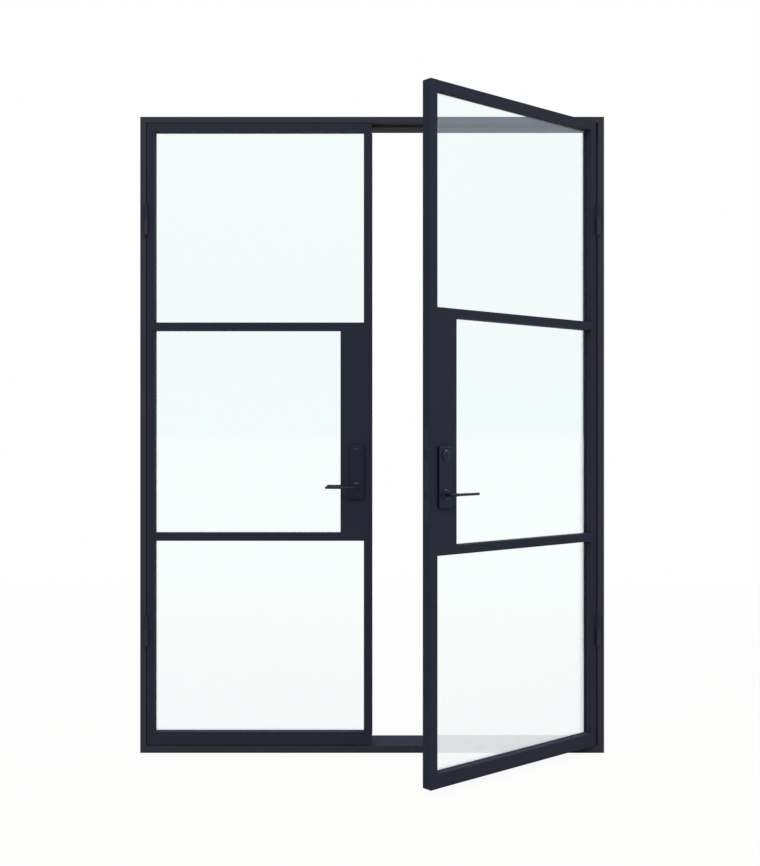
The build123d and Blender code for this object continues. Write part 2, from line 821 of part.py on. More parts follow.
cylinder_end = boss_top + cylinder_proud
cylinder_length = leaf_thickness + 2 * cylinder_end


def cylinder_body(leaf):
    """Plain round body from the front boss to the back boss, its outer edges eased."""
    start = leaf.outward(lock_u, cylinder_height, -1).offset(cylinder_end)
    with BuildPart() as body:
        with BuildSketch(start):
            Circle(cylinder_radius)
        extrude(amount=-cylinder_length)
        chamfer(body.edges().filter_by(GeomType.CIRCLE), cylinder_edge)
    return body.part


with BuildPart() as right_cylinder:
    add(cylinder_body(right))
    with BuildSketch(right.outward(lock_u, cylinder_height, -1).offset(cylinder_end)):
        Circle(plug_radius + running_clearance)
    extrude(amount=-cylinder_length, mode=Mode.SUBTRACT)

turn_base = right.outward(lock_u, cylinder_height, -1).offset(cylinder_end)

with BuildPart() as right_turn:
    with BuildSketch(turn_base):
        Circle(plug_radius)
    extrude(amount=-cylinder_length)
    with BuildSketch(turn_base.offset(pass_clearance)):
        Circle(turn_collar_radius)
    extrude(amount=turn_collar_length - pass_clearance)
    with BuildSketch(turn_base):
        Circle(plug_radius)
    extrude(amount=turn_collar_length)
    with BuildSketch(turn_base.offset(turn_collar_length)):
        SlotOverall(turn_width, turn_thickness, rotation=90)
    extrude(amount=turn_length)
    fillet(right_turn.faces().sort_by(Axis(turn_base.origin, turn_base.z_dir))[-1].edges(), turn_round)
    with BuildSketch(right.outward(lock_u, cylinder_height, 1).offset(cylinder_end)):
        Rectangle(key_slot_width, key_slot_height)
    extrude(amount=-key_slot_depth, mode=Mode.SUBTRACT)

write(right_cylinder.part, "right_cylinder")
write(right_turn.part, "right_turn")
write(cylinder_body(left), "left_cylinder_blank")

# Lock cases with their forends, and the bolts that slide in them

latch_half = (bolt_thickness / 2 + slide_clearance, latch_height / 2 + slide_clearance)
deadbolt_half = (bolt_thickness / 2 + slide_clearance, deadbolt_height / 2 + slide_clearance)


def bolt_pocket(leaf, half, height, depth):
    """Pocket for a bolt, cut in from the meeting edge in the part that is being built."""
    span_box(leaf.side, (leaf_width + cut_overrun, leaf_width - depth),
             (mid_depth - half[0], mid_depth + half[0]), (height - half[1], height + half[1]),
             Mode.SUBTRACT)


def lock_case(leaf):
    """Flat lock case fixed to its forend, with the pockets and holes of its leaf's lock."""
    half_case = case_thickness / 2
    half_forend = forend_width / 2
    inner_end = lock_u - case_past_spindle
    with BuildPart(leaf.plane) as case:
        span_box(leaf.side, (leaf_width - forend_thickness, inner_end),
                 (mid_depth - half_case, mid_depth + half_case), (case_foot, case_top))
        span_box(leaf.side, (leaf_width - forend_thickness, leaf_width),
                 (mid_depth - half_forend, mid_depth + half_forend), (forend_foot, forend_top))
        through_hole(leaf, lever_height, spindle_hole_radius)
        through_hole(leaf, cylinder_height, cylinder_radius + slide_clearance)
        for screw_height in screw_heights:
            through_hole(leaf, screw_height, screw_radius + pass_clearance)
        if leaf is right:
            bolt_pocket(leaf, latch_half, lever_height, bolt_setback + latch_length + pass_clearance)
            bolt_pocket(leaf, deadbolt_half, cylinder_height,
                        bolt_setback + deadbolt_length + pass_clearance)
        else:
            bolt_pocket(leaf, latch_half, lever_height, latch_travel)
            bolt_pocket(leaf, deadbolt_half, cylinder_height, deadbolt_travel)
            for end, way in ((case_top, -1), (case_foot, 1)):
                with BuildSketch(leaf.plane.offset(end)):
                    with Locations((rod_u, leaf.side * mid_depth)):
                        Circle(rod_radius + slide_clearance)
                extrude(amount=way * (rod_engagement + pass_clearance), mode=Mode.SUBTRACT)
    return case.part


def edge_bolt(leaf, height, bolt_height, length):
    """Bolt that slides out of the meeting edge, with its outer edges rounded."""
    outer = leaf_width - bolt_setback
    half = bolt_thickness / 2
    along = Axis(leaf.plane.origin, leaf.plane.x_dir)
    with BuildPart(leaf.plane) as bolt:
        span_box(leaf.side, (outer - length, outer), (mid_depth - half, mid_depth + half),
                 (height - bolt_height / 2, height + bolt_height / 2))
        fillet(bolt.faces().sort_by(along)[-1].edges(), bolt_end_round)
    return bolt.part


def shoot_bolt(leaf, start, end):
    """Round rod in the lock stile from the lock case to the leaf's end."""
    with BuildPart() as rod:
        with BuildSketch(leaf.plane.offset(start)):
            with Locations((rod_u, leaf.side * mid_depth)):
                Circle(rod_radius)
        extrude(amount=end - start)
        chamfer(rod.edges().filter_by(GeomType.CIRCLE), arris_radius)
    return rod.part


for leaf in leaves:
    write(lock_case(leaf), f"{leaf.name}_lock_case")

write(edge_bolt(right, lever_height, latch_height, latch_length), "right_latch_bolt")
write(edge_bolt(right, cylinder_height, deadbolt_height, deadbolt_length), "right_deadbolt")
write(shoot_bolt(left, case_top - rod_engagement, leaf_top - rod_setback), "left_top_bolt")
write(shoot_bolt(left, leaf_foot + rod_setback, case_foot + rod_engagement), "left_bottom_bolt")
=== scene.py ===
"""Looks of a pair of slim steel french doors in their frame, one leaf shut and one leaf open."""

import json
import logging
import math
from dataclasses import dataclass, field
from enum import Enum
from typing import Any

import bpy
from mathutils import Matrix, Vector


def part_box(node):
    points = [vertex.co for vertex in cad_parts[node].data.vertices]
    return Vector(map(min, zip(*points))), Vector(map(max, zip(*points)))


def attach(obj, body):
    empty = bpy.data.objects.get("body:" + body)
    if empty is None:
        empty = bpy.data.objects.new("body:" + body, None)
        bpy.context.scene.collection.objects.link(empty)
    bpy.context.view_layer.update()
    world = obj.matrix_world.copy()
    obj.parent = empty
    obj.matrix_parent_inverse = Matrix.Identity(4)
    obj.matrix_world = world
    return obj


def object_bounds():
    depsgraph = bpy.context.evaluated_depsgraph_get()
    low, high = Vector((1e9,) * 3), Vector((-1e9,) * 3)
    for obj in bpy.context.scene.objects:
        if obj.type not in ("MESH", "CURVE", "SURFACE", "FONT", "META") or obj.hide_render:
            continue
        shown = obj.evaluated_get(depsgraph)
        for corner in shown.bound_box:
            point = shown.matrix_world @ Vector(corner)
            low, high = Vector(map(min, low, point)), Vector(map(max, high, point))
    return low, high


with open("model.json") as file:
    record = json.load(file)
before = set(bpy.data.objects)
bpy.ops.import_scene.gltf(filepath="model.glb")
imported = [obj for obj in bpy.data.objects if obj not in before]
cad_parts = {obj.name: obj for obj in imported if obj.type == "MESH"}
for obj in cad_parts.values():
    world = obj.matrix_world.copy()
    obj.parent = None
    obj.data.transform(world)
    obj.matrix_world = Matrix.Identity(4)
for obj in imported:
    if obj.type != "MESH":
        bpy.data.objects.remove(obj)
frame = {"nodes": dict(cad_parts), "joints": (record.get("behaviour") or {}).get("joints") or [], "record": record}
CAD_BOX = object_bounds()

Colour = tuple[float, float, float]
Point = tuple[float, float, float]
Span = tuple[float, float]
Row = tuple[Vector, Vector]

MM = 0.001

# A Mix node has sockets of the same names for each kind of data, so its colour sockets go by number.
MIX_SHARE, MIX_FIRST, MIX_SECOND = 0, 6, 7
MIX_RESULT = 2

log = logging.getLogger("french_doors")


class Value:
    """A number socket of a node tree that takes part in Python sums."""

    def __init__(self, graph: "Graph", socket: bpy.types.NodeSocket) -> None:
        """Keeps the socket and the graph that new nodes go into."""
        self.graph = graph
        self.socket = socket

    def _sum(self, operation: str, first: "Value | float", second: "Value | float") -> "Value":
        """Adds one Math node.

        Args:
            operation: The Math node's operation.
            first: A number or a Value.
            second: A number or a Value.

        Returns:
            The node's result.
        """
        made = self.graph.node("ShaderNodeMath", {"operation": operation}, {0: first, 1: second})
        return Value(self.graph, made.outputs["Value"])

    def __add__(self, other: "Value | float") -> "Value":
        """Sum of two values."""
        return self._sum("ADD", self, other)

    def __radd__(self, other: float) -> "Value":
        """Sum with a number on the left."""
        return self._sum("ADD", other, self)

    def __sub__(self, other: "Value | float") -> "Value":
        """Difference of two values."""
        return self._sum("SUBTRACT", self, other)

    def __rsub__(self, other: float) -> "Value":
        """Difference with a number on the left."""
        return self._sum("SUBTRACT", other, self)

    def __mul__(self, other: "Value | float") -> "Value":
        """Product of two values."""
        return self._sum("MULTIPLY", self, other)

    def __rmul__(self, other: float) -> "Value":
        """Product with a number on the left."""
        return self._sum("MULTIPLY", other, self)

    def largest(self, other: "Value | float") -> "Value":
        """The larger of two values."""
        return self._sum("MAXIMUM", self, other)

    def ramp(self, low: float, high: float) -> "Value":
        """Smooth step of the value.

        Args:
            low: Where the result is 0.
            high: Where the result is 1.

        Returns:
            A value from 0 to 1.
        """
        made = self.graph.node(
            "ShaderNodeMapRange",
            {"interpolation_type": "SMOOTHSTEP", "clamp": True},
            {"Value": self, "From Min": low, "From Max": high},
        )
        return Value(self.graph, made.outputs["Result"])


class Graph:
    """A node tree that is filled through one method."""

    def __init__(self, tree: bpy.types.NodeTree) -> None:
        """Keeps the tree."""
        self.tree = tree

    def node(self, kind: str, settings: dict[str, Any] | None = None,
             sockets: dict[str | int, Any] | None = None) -> bpy.types.Node:
        """Adds a node.

        Args:
            kind: The node's type.
            settings: Properties of the node, set before its sockets.
            sockets: A value or a link for each input, by name or number.

        Returns:
            The new node.
        """
        made = self.tree.nodes.new(kind)
        for name, setting in (settings or {}).items():
            setattr(made, name, setting)
        for key, given in (sockets or {}).items():
            source = given.socket if isinstance(given, Value) else given
            if isinstance(source, bpy.types.NodeSocket):
                self.tree.links.new(source, made.inputs[key])
            else:
                made.inputs[key].default_value = source
        return made

    def value(self, kind: str, output: str, settings: dict[str, Any] | None = None,
              sockets: dict[str | int, Any] | None = None) -> Value:
        """Adds a node and returns one of its outputs as a Value.

        Args:
            kind: The node's type.
            output: The name of the output.
            settings: Properties of the node.
            sockets: A value or a link for each input.

        Returns:
            The output.
        """
        return Value(self, self.node(kind, settings, sockets).outputs[output])

    def place(self, scale: Point = (1, 1, 1)) -> bpy.types.NodeSocket:
        """Object coordinates, stretched by a scale along each axis."""
        spot = self.node("ShaderNodeTexCoord").outputs["Object"]
        return self.node("ShaderNodeMapping", None, {"Vector": spot, "Scale": scale}).outputs["Vector"]

    def height_of(self, vector: bpy.types.NodeSocket) -> Value:
        """The part of a vector along Z."""
        return self.value("ShaderNodeSeparateXYZ", "Z", None, {"Vector": vector})

    def noise(self, size: float, detail: float, scale: Point = (1, 1, 1)) -> Value:
        """Noise whose blobs are about as large as a size in metres."""
        return self.value("ShaderNodeTexNoise", "Fac", None,
                          {"Vector": self.place(scale), "Scale": 1 / size, "Detail": detail})

    def mix(self, share: Value, first: Any, second: Any) -> bpy.types.NodeSocket:
        """Colour between two colours.

        Args:
            share: How much of the second colour.
            first: A colour with alpha, or a link.
            second: A colour with alpha, or a link.

        Returns:
            The mixed colour.
        """
        made = self.node("ShaderNodeMix", {"data_type": "RGBA"},
                         {MIX_SHARE: share, MIX_FIRST: first, MIX_SECOND: second})
        return made.outputs[MIX_RESULT]

    def blend(self, share: Value, first: bpy.types.Node, second: bpy.types.Node) -> bpy.types.Node:
        """Shader between two shaders.

        Args:
            share: How much of the second shader.
            first: A shader's node.
            second: A shader's node.

        Returns:
            The node of the mixed shader.
        """
        return self.node("ShaderNodeMixShader", None,
                         {0: share, 1: first.outputs[0], 2: second.outputs[0]})

    def bump(self, height: Value, distance: float, strength: float) -> bpy.types.NodeSocket:
        """Surface normal of a relief.

        Args:
            height: The relief, from 0 to 1.
            distance: How far a height of 1 stands out, in metres.
            strength: How much of the relief shows.

        Returns:
            The normal.
        """
        made = self.node("ShaderNodeBump", None,
                         {"Height": height, "Distance": distance, "Strength": strength})
        return made.outputs["Normal"]

    def show(self, shader: bpy.types.Node, output: str = "ShaderNodeOutputMaterial") -> None:
        """Puts a shader on the surface."""
        self.node(output, None, {"Surface": shader.outputs[0]})


def fresh_material(name: str) -> tuple[bpy.types.Material, Graph]:
    """Makes an empty material.

    Args:
        name: The material's name.

    Returns:
        The material and its graph.
    """
    material = bpy.data.materials.new(name)
    material.use_nodes = True
    material.node_tree.nodes.clear()
    return material, Graph(material.node_tree)


def add_object(name: str, data: bpy.types.ID) -> bpy.types.Object:
    """Adds an object to the scene.

    Args:
        name: The object's name.
        data: Its mesh, light or camera.

    Returns:
        The object, at the origin.
    """
    made = bpy.data.objects.new(name, data)
    bpy.context.scene.collection.objects.link(made)
    return made


def opaque(colour: Colour, factor: float = 1.0) -> tuple[float, float, float, float]:
    """Colour times a factor, with full alpha."""
    return (colour[0] * factor, colour[1] * factor, colour[2] * factor, 1.0)


@dataclass(frozen=True)
class PowderCoat:
    """Dark coat on steel: fine orange peel, faint clouding, and a bluish tone on upward faces.

    The bluish tone is a little settled dusting together with painted cool skylight.
    """

    name: str
    colour: Colour
    roughness: float
    shine: float
    peel_size: float = 1.6 * MM
    peel_height: float = 0.02 * MM
    peel_detail: float = 1.0
    peel_strength: float = 0.6
    peel_dulling: float = 0.05
    cloud_size: float = 0.35
    cloud_detail: float = 3.0
    cloud_span: Span = (0.3, 0.7)
    cloud_share: float = 0.16
    cloud_lightening: float = 1.6
    cloud_dulling: float = 0.08
    clear_gloss: float = 0.06
    # Bluish tone of upward faces: settled dusting plus painted cool skylight.
    dust_colour: Colour = (0.15, 0.17, 0.32)
    dust_share: float = 0.1
    dust_size: float = 0.0175
    dust_detail: float = 5.0
    dust_span: Span = (0.25, 0.75)
    dust_least: float = 0.6
    dust_slope: Span = (0.6, 1.0)

    def material(self) -> bpy.types.Material:
        """Builds the coat.

        Returns:
            The material.
        """
        material, graph = fresh_material(self.name)
        cloud = graph.noise(self.cloud_size, self.cloud_detail).ramp(*self.cloud_span)
        peel = graph.noise(self.peel_size, self.peel_detail)
        normal = graph.node("ShaderNodeNewGeometry").outputs["Normal"]
        # Upward faces get a bluish tone: settled dusting plus painted cool skylight.
        upward = graph.height_of(normal).ramp(*self.dust_slope)
        specks = graph.noise(self.dust_size, self.dust_detail).ramp(*self.dust_span)
        settled = self.dust_least + specks * (1 - self.dust_least)
        dust_and_skylight = upward * settled * self.dust_share
        dulling = cloud * self.cloud_dulling + peel * self.peel_dulling + dust_and_skylight
        lighter = opaque(self.colour, self.cloud_lightening)
        base = graph.mix(cloud * self.cloud_share, opaque(self.colour), lighter)
        graph.show(graph.node("ShaderNodeBsdfPrincipled", None, {
            "Base Color": graph.mix(dust_and_skylight, base, opaque(self.dust_colour)),
            "Roughness": self.roughness - self.clear_gloss + dulling,
            "Specular IOR Level": self.shine,
            "Normal": graph.bump(peel, self.peel_height, self.peel_strength),
        }))
        return material


@dataclass(frozen=True)
class FloatGlass:
    """Clear glass with a pale aqua tint and a mirror film whose strength and tint are painted by height.

    The painted reflection stands in for the floor below floor_height, most of all below sill_height, and
    for the sky above eye_height, less and less up to top_height.
    """

    name: str
    tint: Colour
    top_mirror: Colour
    eye_mirror: Colour
    foot_mirror: Colour
    top_share: float
    eye_share: float
    foot_share: float
    sill_share: float
    top_height: float = 2.35
    eye_height: float = 1.22
    floor_height: float = 1.165
    knee_height: float = 0.6
    sill_height: float = 0.2
    softness: float = 0.04
    wave_size: float = 0.5
    wave_height: float = 0.15 * MM
    wave_detail: float = 1.0
    wave_strength: float = 0.3
    grazing_blend: float = 0.3
    grazing_share: float = 0.4

    def material(self) -> bpy.types.Material:
        """Builds the glass as a see-through film with a mirror whose tint and share are painted by height.

        Returns:
            The material.
        """
        material, graph = fresh_material(self.name)
        wave = graph.noise(self.wave_size, self.wave_detail)
        height = graph.height_of(graph.place())
        # Painted reflection: the mirror's tint goes from the floor's white low down to the sky's cool tint above.
        upper = height.ramp(self.floor_height, self.eye_height)
        rise = height.ramp(self.eye_height, self.top_height)
        sky = graph.mix(rise, opaque(self.eye_mirror), opaque(self.top_mirror))
        clear = graph.node("ShaderNodeBsdfTransparent", None, {"Color": opaque(self.tint)})
        mirror = graph.node("ShaderNodeBsdfPrincipled", None, {
            "Base Color": graph.mix(upper, opaque(self.foot_mirror), sky),
            "Metallic": 1.0,
            "Roughness": self.softness,
            "Normal": graph.bump(wave, self.wave_height, self.wave_strength),
        })
        # Painted reflection: the mirror's share is largest near the foot and smallest at the top.
        low = height.ramp(self.sill_height, self.knee_height)
        fade = low * (self.foot_share - self.sill_share) + upper * (self.eye_share - self.foot_share)
        painted_height_share = self.sill_share + fade + rise * (self.top_share - self.eye_share)
        facing = graph.value("ShaderNodeLayerWeight", "Facing", None, {"Blend": self.grazing_blend})
        share = painted_height_share + facing * facing * (1 - painted_height_share) * self.grazing_share
        graph.show(graph.blend(share, clear, mirror))
        return material


@dataclass(frozen=True)
class SealRubber:
    """Matt black rubber with a fine tooth and a faint pale bloom."""

    name: str
    colour: Colour
    roughness: float = 0.75
    shine: float = 0.3
    tooth_size: float = 0.6 * MM
    tooth_height: float = 0.03 * MM
    tooth_detail: float = 2.0
    tooth_strength: float = 0.5
    bloom_size: float = 0.06
    bloom_detail: float = 3.0
    bloom_span: Span = (0.45, 0.8)
    bloom_share: float = 0.35
    bloom_lightening: float = 2.2
    bloom_dulling: float = 0.1

    def material(self) -> bpy.types.Material:
        """Builds the rubber.

        Returns:
            The material.
        """
        material, graph = fresh_material(self.name)
        tooth = graph.noise(self.tooth_size, self.tooth_detail)
        bloom = graph.noise(self.bloom_size, self.bloom_detail).ramp(*self.bloom_span)
        lighter = opaque(self.colour, self.bloom_lightening)
        graph.show(graph.node("ShaderNodeBsdfPrincipled", None, {
            "Base Color": graph.mix(bloom * self.bloom_share, opaque(self.colour), lighter),
            "Roughness": self.roughness + bloom * self.bloom_dulling,
            "Specular IOR Level": self.shine,
            "Normal": graph.bump(tooth, self.tooth_height, self.tooth_strength),
        }))
        return material


@dataclass(frozen=True)
class BareMetal:
    """Drawn or turned metal with fine lines along one axis and a thin haze."""

    name: str
    colour: Colour
    roughness: float
    line_stretch: Point = (1.0, 1.0, 0.04)
    line_size: float = 0.5 * MM
    line_height: float = 0.01 * MM
    line_detail: float = 2.0
    line_strength: float = 0.4
    line_dulling: float = 0.12
    haze_size: float = 0.04
    haze_detail: float = 3.0
    haze_span: Span = (0.35, 0.7)
    haze_share: float = 0.5
    haze_darkening: float = 0.7
    haze_dulling: float = 0.1

    def material(self) -> bpy.types.Material:
        """Builds the metal.

        Returns:
            The material.
        """
        material, graph = fresh_material(self.name)
        lines = graph.noise(self.line_size, self.line_detail, self.line_stretch)
        haze = graph.noise(self.haze_size, self.haze_detail).ramp(*self.haze_span)
        darker = opaque(self.colour, self.haze_darkening)
        graph.show(graph.node("ShaderNodeBsdfPrincipled", None, {
            "Base Color": graph.mix(haze * self.haze_share, opaque(self.colour), darker),
            "Metallic": 1.0,
            "Roughness": self.roughness + lines * self.line_dulling + haze * self.haze_dulling,
            "Normal": graph.bump(lines, self.line_height, self.line_strength),
        }))
        return material


FINISHES: dict[str, PowderCoat | FloatGlass | SealRubber | BareMetal] = {
    "frame_steel": PowderCoat("frame_coat", colour=(0.0262, 0.0258, 0.0345), roughness=0.68, shine=0.04),
    "leaf_steel": PowderCoat("leaf_coat", colour=(0.0165, 0.0187, 0.0288), roughness=0.66, shine=0.04),
    "handle_black": PowderCoat("handle_coat", colour=(0.0035, 0.006, 0.0165), roughness=0.3, shine=0.18,
                               peel_size=0.9 * MM, peel_height=0.008 * MM),
    # The glass's mirror tints and shares are painted reflection, graded by height.
    "glass": FloatGlass("float_glass", tint=(0.972, 1.0, 0.984), top_mirror=(0.79, 0.85, 0.98),
                        eye_mirror=(0.843, 0.93, 0.952), foot_mirror=(0.965, 0.985, 1.0),
                        top_share=0.11, eye_share=0.2, foot_share=0.42, sill_share=0.6),
    "rubber": SealRubber("seal_rubber", colour=(0.034, 0.03, 0.026)),
    "bare_steel": BareMetal("plated_steel", colour=(0.55, 0.55, 0.54), roughness=0.3),
    "washer_nylon": SealRubber("washer_nylon", colour=(0.015, 0.015, 0.016), roughness=0.5),
}


class Side(Enum):
    """The two leaves, by the sign of X on their hinge side."""

    LEFT = -1
    RIGHT = 1

    @property
    def word(self) -> str:
        """The side's name as CAD nodes use it."""
        return self.name.lower()


@dataclass
class LeafPlace:
    """Where a leaf stands: a shut leaf on the left, mirrored and turned for the right one."""

    side: Side
    turn: Matrix = field(init=False)

    def __post_init__(self) -> None:
        """Works out the turn from the leaf's own swing joint."""
        swing = next(j for j in frame["joints"] if j["name"] == f"{self.side.word}_leaf_swing")
        pin = Vector(swing["pos_m"])
        angle = math.radians(-swing["range_deg"][0]) * swing["axis"][2]
        self.turn = Matrix.Translation(pin) @ Matrix.Rotation(angle, 4, "Z") @ Matrix.Translation(-pin)

    def spot(self, point: Vector) -> Vector:
        """Point of the shut left leaf, carried to this leaf."""
        return self.turn @ Vector((-self.side.value * point.x, point.y, point.z))

    def way(self, direction: Vector) -> Vector:
        """Direction on the shut left leaf, carried to this leaf."""
        turned = Vector((-self.side.value * direction.x, direction.y, direction.z))
        return (self.turn.to_3x3() @ turned).normalized()

    @property
    def body(self) -> str:
        """The body that the leaf's pieces ride on."""
        return f"{self.side.word}_leaf"


@dataclass
class SocketScrews:
    """Rows of small socket screws whose bevelled heads stand on a flat face."""

    name: str
    slot: str
    head_radius: float
    head_height: float
    socket_radius: float
    spacing: float
    crown_share: float = 0.78
    sides: int = 16
    socket_sides: int = 6
    socket_rise: float = 0.9

    def tree(self, material: bpy.types.Material) -> bpy.types.GeometryNodeTree:
        """Builds the tree that sets one screw at each step along the given edges.

        Args:
            material: The finish of the heads.

        Returns:
            A tree with named inputs for the screw's sizes.
        """
        tree = bpy.data.node_groups.new(f"{self.name}_rows", "GeometryNodeTree")
        tree.interface.new_socket("Geometry", in_out="INPUT", socket_type="NodeSocketGeometry")
        for label in ("Head radius", "Head height", "Socket radius", "Spacing"):
            tree.interface.new_socket(label, in_out="INPUT", socket_type="NodeSocketFloat")
        tree.interface.new_socket("Facing", in_out="INPUT", socket_type="NodeSocketVector")
        tree.interface.new_socket("Geometry", in_out="OUTPUT", socket_type="NodeSocketGeometry")
        graph = Graph(tree)
        given = graph.node("NodeGroupInput").outputs
        crown = Value(graph, given["Head radius"]) * self.crown_share
        head = graph.node("GeometryNodeMeshCone", {"fill_type": "NGON"}, {
            "Vertices": self.sides, "Radius Top": crown, "Radius Bottom": given["Head radius"],
            "Depth": given["Head height"],
        })
        socket = graph.node("GeometryNodeMeshCylinder", {"fill_type": "NGON"}, {
            "Vertices": self.socket_sides, "Radius": given["Socket radius"], "Depth": given["Head height"],
        })
        rise = Value(graph, given["Head height"]) * self.socket_rise
        raised = graph.node("GeometryNodeTransform", None, {
            "Geometry": socket.outputs["Mesh"],
            "Translation": graph.value("ShaderNodeCombineXYZ", "Vector", None, {"Z": rise}),
        })
        hollow = graph.node("GeometryNodeMeshBoolean", {"operation": "DIFFERENCE"}, {
            "Mesh 1": head.outputs["Mesh"], "Mesh 2": raised.outputs["Geometry"],
        })
        rows = graph.node("GeometryNodeMeshToCurve", None, {"Mesh": given["Geometry"]})
        steps = graph.node("GeometryNodeResampleCurve", {"mode": "LENGTH"}, {
            "Curve": rows.outputs["Curve"], "Length": given["Spacing"],
        })
        turn = graph.node("FunctionNodeAlignRotationToVector", {"axis": "Z"}, {"Vector": given["Facing"]})
        screws = graph.node("GeometryNodeInstanceOnPoints", None, {
            "Points": steps.outputs["Curve"], "Instance": hollow.outputs["Mesh"],
            "Rotation": turn.outputs["Rotation"],
        })
        real = graph.node("GeometryNodeRealizeInstances", None, {"Geometry": screws.outputs["Instances"]})
        dressed = graph.node("GeometryNodeSetMaterial", None, {
            "Geometry": real.outputs["Geometry"], "Material": material,
        })
        graph.node("NodeGroupOutput", None, {"Geometry": dressed.outputs["Geometry"]})
        return tree

    def build(self, place: LeafPlace, rows: list[Row], facing: Vector,
              material: bpy.types.Material) -> None:
        """Makes the screws of one leaf as one plain mesh that rides on it.

        Args:
            place: The leaf that carries them.
            rows: Start and end of each row, on the shut left leaf.
            facing: The way that the heads point, on the shut left leaf.
            material: The finish of the heads.
        """
        points = [place.spot(end) for row in rows for end in row]
        edges = [(2 * index, 2 * index + 1) for index in range(len(rows))]
        lines = bpy.data.meshes.new(f"{self.name}_lines")
        lines.from_pydata(points, edges, [])
        guide = add_object(f"{self.name}_guide", lines)
        tree = self.tree(material)
        modifier = guide.modifiers.new("rows", "NODES")
        modifier.node_group = tree
        sizes = {"Head radius": self.head_radius, "Head height": self.head_height,
                 "Socket radius": self.socket_radius, "Spacing": self.spacing,
                 "Facing": tuple(place.way(facing))}
        for item in tree.interface.items_tree:
            if item.in_out == "INPUT" and item.name in sizes:
                modifier[item.identifier] = sizes[item.name]
        evaluated = guide.evaluated_get(bpy.context.evaluated_depsgraph_get())
        mesh = bpy.data.meshes.new_from_object(evaluated)
        bpy.data.objects.remove(guide)
        piece = add_object(f"{place.side.word}_{self.name}", mesh)
        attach(piece, place.body)
        log.info("%s: %d faces", piece.name, len(mesh.polygons))


@dataclass
class LeafFasteners:
    """Small screws of the leaves: in the glazing beads and in the lock's forend."""

    bead_lap: float = 2 * MM
    bead_corner: float = 60 * MM
    forend_end: float = 7 * MM
    sink: float = 0.1 * MM
    bead_screws: SocketScrews = field(default_factory=lambda: SocketScrews(
        "bead_screws", "leaf_steel", head_radius=2.6 * MM, head_height=1.3 * MM,
        socket_radius=1.3 * MM, spacing=220 * MM))
    forend_screws: SocketScrews = field(default_factory=lambda: SocketScrews(
        "forend_screws", "handle_black", head_radius=3.6 * MM, head_height=0.6 * MM,
        socket_radius=1.6 * MM, spacing=1000 * MM))

    def bead_rows(self) -> list[Row]:
        """Centre lines of the beads round each lite of the shut left leaf, on their back faces.

        Returns:
            Start and end of each row of screws.
        """
        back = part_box("left_glazing_beads")[1].y - self.sink
        rows = []
        for level in ("bottom", "middle", "top"):
            low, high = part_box(f"left_{level}_pane")
            left, right = low.x + self.bead_lap, high.x - self.bead_lap
            foot, top = low.z + self.bead_lap, high.z - self.bead_lap
            inset = self.bead_corner
            for z in (foot, top):
                rows.append((Vector((left + inset, back, z)), Vector((right - inset, back, z))))
            for x in (left, right):
                rows.append((Vector((x, back, foot + inset)), Vector((x, back, top - inset))))
        return rows

    def forend_rows(self) -> list[Row]:
        """Line between the two screws of the forend on the shut left leaf's meeting edge.

        Returns:
            Start and end of the one row.
        """
        low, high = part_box("left_lock_case")
        middle = (low.y + high.y) / 2
        edge = high.x - self.sink
        return [(Vector((edge, middle, low.z + self.forend_end)),
                 Vector((edge, middle, high.z - self.forend_end)))]

    def build(self, materials: dict[str, bpy.types.Material]) -> None:
        """Makes the screws of both leaves.

        Args:
            materials: The finish of each slot.
        """
        for side in Side:
            place = LeafPlace(side)
            for screws, rows, facing in (
                (self.bead_screws, self.bead_rows(), Vector((0, 1, 0))),
                (self.forend_screws, self.forend_rows(), Vector((1, 0, 0))),
            ):
                screws.build(place, rows, facing, materials[screws.slot])


@dataclass
class MeetingFin:
    """Soft fin along the left leaf's meeting strip, which closes most of the gap to the right leaf."""

    name: str = "left_meeting_fin"
    strip_width: float = 5 * MM
    reach: float = 1.3 * MM
    sink: float = 0.2 * MM
    root_half: float = 1.2 * MM
    neck_half: float = 0.6 * MM
    neck_share: float = 0.3
    tip_half: float = 0.3 * MM
    lean: float = 0.4 * MM

    def section(self) -> list[tuple[float, float]]:
        """Outline of the fin across its length.

        Returns:
            For each corner, how far out it is, and how far towards the back from the strip's middle.
        """
        neck = self.reach * self.neck_share
        return [
            (-self.sink, -self.root_half),
            (neck, -self.neck_half),
            (self.reach, self.lean - self.tip_half),
            (self.reach, self.lean + self.tip_half),
            (neck, self.neck_half),
            (-self.sink, self.root_half),
        ]

    def build(self, material: bpy.types.Material) -> None:
        """Makes the fin and lets it ride on the left leaf.

        Args:
            material: The finish of the fin.
        """
        strip_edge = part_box("left_leaf_seals")[1]
        stile_foot, stile_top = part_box("left_lock_stile")
        foot = stile_foot.z + stile_top.z - strip_edge.z
        middle = strip_edge.y - self.strip_width / 2
        outline = self.section()
        count = len(outline)
        points = [(strip_edge.x + out, middle + back, z)
                  for z in (foot, strip_edge.z) for out, back in outline]
        faces = [tuple(reversed(range(count))), tuple(range(count, 2 * count))]
        for start in range(count):
            end = (start + 1) % count
            faces.append((start, end, count + end, count + start))
        mesh = bpy.data.meshes.new(self.name)
        mesh.from_pydata(points, [], faces)
        mesh.materials.append(material)
        piece = add_object(self.name, mesh)
        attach(piece, "left_leaf")
        log.info("%s: %d faces", piece.name, len(mesh.polygons))


@dataclass
class DoorSet:
    """All the carried-over pieces, each dressed in the finish of its slot."""

    materials: dict[str, bpy.types.Material] = field(default_factory=dict)

    def dress(self) -> None:
        """Gives every node the finish that its slot names."""
        self.materials = {slot: finish.material() for slot, finish in FINISHES.items()}
        for part in frame["record"]["subparts"]:
            node = frame["nodes"][part["node"]]
            node.data.materials.clear()
            node.data.materials.append(self.materials[part["material_slot"]])
            log.info("%s: %s", part["node"], part["material_slot"])


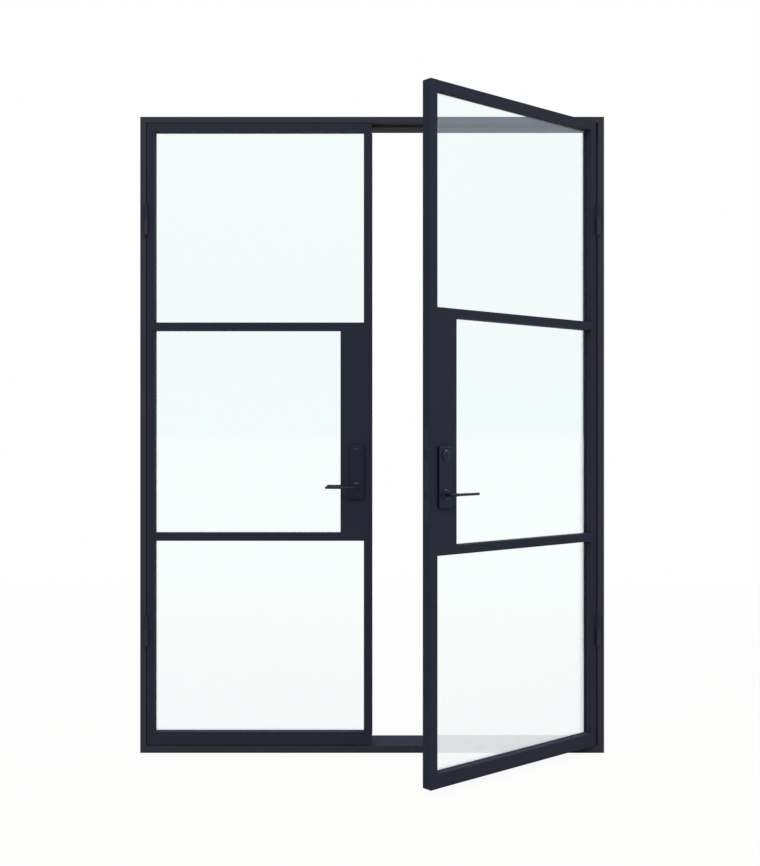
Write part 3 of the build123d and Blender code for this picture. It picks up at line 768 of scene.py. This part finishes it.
@dataclass(frozen=True)
class SoftLamp:
    """A broad rectangular lamp turned to the middle of the doors."""

    name: str
    spot: Point
    width: float
    height: float
    power: float

    def build(self) -> None:
        """Hangs the lamp."""
        data = bpy.data.lights.new(self.name, "AREA")
        data.shape = "RECTANGLE"
        data.size = self.width
        data.size_y = self.height
        data.energy = self.power
        lamp = add_object(self.name, data)
        lamp.location = self.spot
        aim = Vector((0, 0, CAD_BOX[1].z / 2)) - lamp.location
        lamp.rotation_euler = aim.to_track_quat("-Z", "Y").to_euler()


@dataclass
class Studio:
    """White surroundings, a pale floor, soft light from above and from one side, and the camera."""

    camera_spot: Point = (0.0296, -4.383, 1.207)
    lens: float = 47.47
    sensor: float = 36.0
    floor_reach: float = 40.0
    floor_shade: Colour = (0.95, 0.84, 0.67)
    floor_white: float = 0.93
    shadow_fade: Span = (2.0, 6.0)
    white: Colour = (1.0, 1.0, 1.0)
    sky_light: Colour = (0.83, 0.94, 1.18)
    sky_strength: float = 0.66
    key: SoftLamp = SoftLamp("key", spot=(0.0, -6.5, 6.4), width=9.0, height=2.0, power=430.0)
    side: SoftLamp = SoftLamp("side", spot=(9.0, -0.4, 6.6), width=2.4, height=2.0, power=190.0)

    def seen(self, graph: Graph) -> Value:
        """Tells the rays that show the surroundings from those that only light.

        Args:
            graph: The graph that asks.

        Returns:
            1 for straight rays, mirrored rays and rays through glass, and 0 for the rest.
        """
        path = graph.node("ShaderNodeLightPath").outputs
        straight, mirrored, through = (
            Value(graph, path[f"Is {kind} Ray"]) for kind in ("Camera", "Glossy", "Transmission"))
        return straight.largest(mirrored).largest(through)

    def world(self) -> None:
        """White where it is seen, and a soft cool light elsewhere."""
        world = bpy.data.worlds.new("studio")
        bpy.context.scene.world = world
        world.use_nodes = True
        world.cycles.sampling_method = "NONE"
        world.node_tree.nodes.clear()
        graph = Graph(world.node_tree)
        light = graph.node("ShaderNodeBackground", None, {
            "Color": opaque(self.sky_light), "Strength": self.sky_strength,
        })
        white = graph.node("ShaderNodeBackground", None, {"Color": opaque(self.white), "Strength": 1.0})
        graph.show(graph.blend(self.seen(graph), light, white), "ShaderNodeOutputWorld")

    def floor(self) -> None:
        """Pale floor that is white to the eye and keeps a faint shadow near the doors."""
        reach = self.floor_reach
        mesh = bpy.data.meshes.new("floor")
        corners = [(-reach, -reach, 0), (reach, -reach, 0), (reach, reach, 0), (-reach, reach, 0)]
        mesh.from_pydata(corners, [], [(0, 1, 2, 3)])
        floor = add_object("floor", mesh)
        material, graph = fresh_material("pale_floor")
        spot = graph.node("ShaderNodeTexCoord").outputs["Object"]
        distance = graph.value("ShaderNodeVectorMath", "Value", {"operation": "LENGTH"}, {0: spot})
        far = distance.ramp(*self.shadow_fade)
        white = graph.node("ShaderNodeEmission", None, {"Color": opaque(self.white), "Strength": 1.0})
        lit = graph.node("ShaderNodeBsdfDiffuse", None, {"Color": opaque(self.floor_shade)})
        share = self.seen(graph) * (self.floor_white + far * (1 - self.floor_white))
        graph.show(graph.blend(share, lit, white))
        material.cycles.emission_sampling = "NONE"
        mesh.materials.append(material)

    def camera(self) -> None:
        """Camera square to the frame, at half the frame's height."""
        data = bpy.data.cameras.new("camera")
        data.lens = self.lens
        data.sensor_width = self.sensor
        camera = add_object("camera", data)
        camera.location = self.camera_spot
        camera.rotation_euler = (math.pi / 2, 0, 0)
        bpy.context.scene.camera = camera

    def build(self) -> None:
        """Sets the stage."""
        self.world()
        self.floor()
        self.key.build()
        self.side.build()
        self.camera()
        bpy.context.scene.view_settings.view_transform = "Standard"


def main() -> None:
    """Dresses the doors, adds their small fasteners and fin, and sets the stage."""
    logging.basicConfig(level=logging.INFO, format="%(message)s")
    doors = DoorSet()
    doors.dress()
    LeafFasteners().build(doors.materials)
    MeetingFin().build(doors.materials["rubber"])
    Studio().build()


if __name__ == "__main__":
    main()
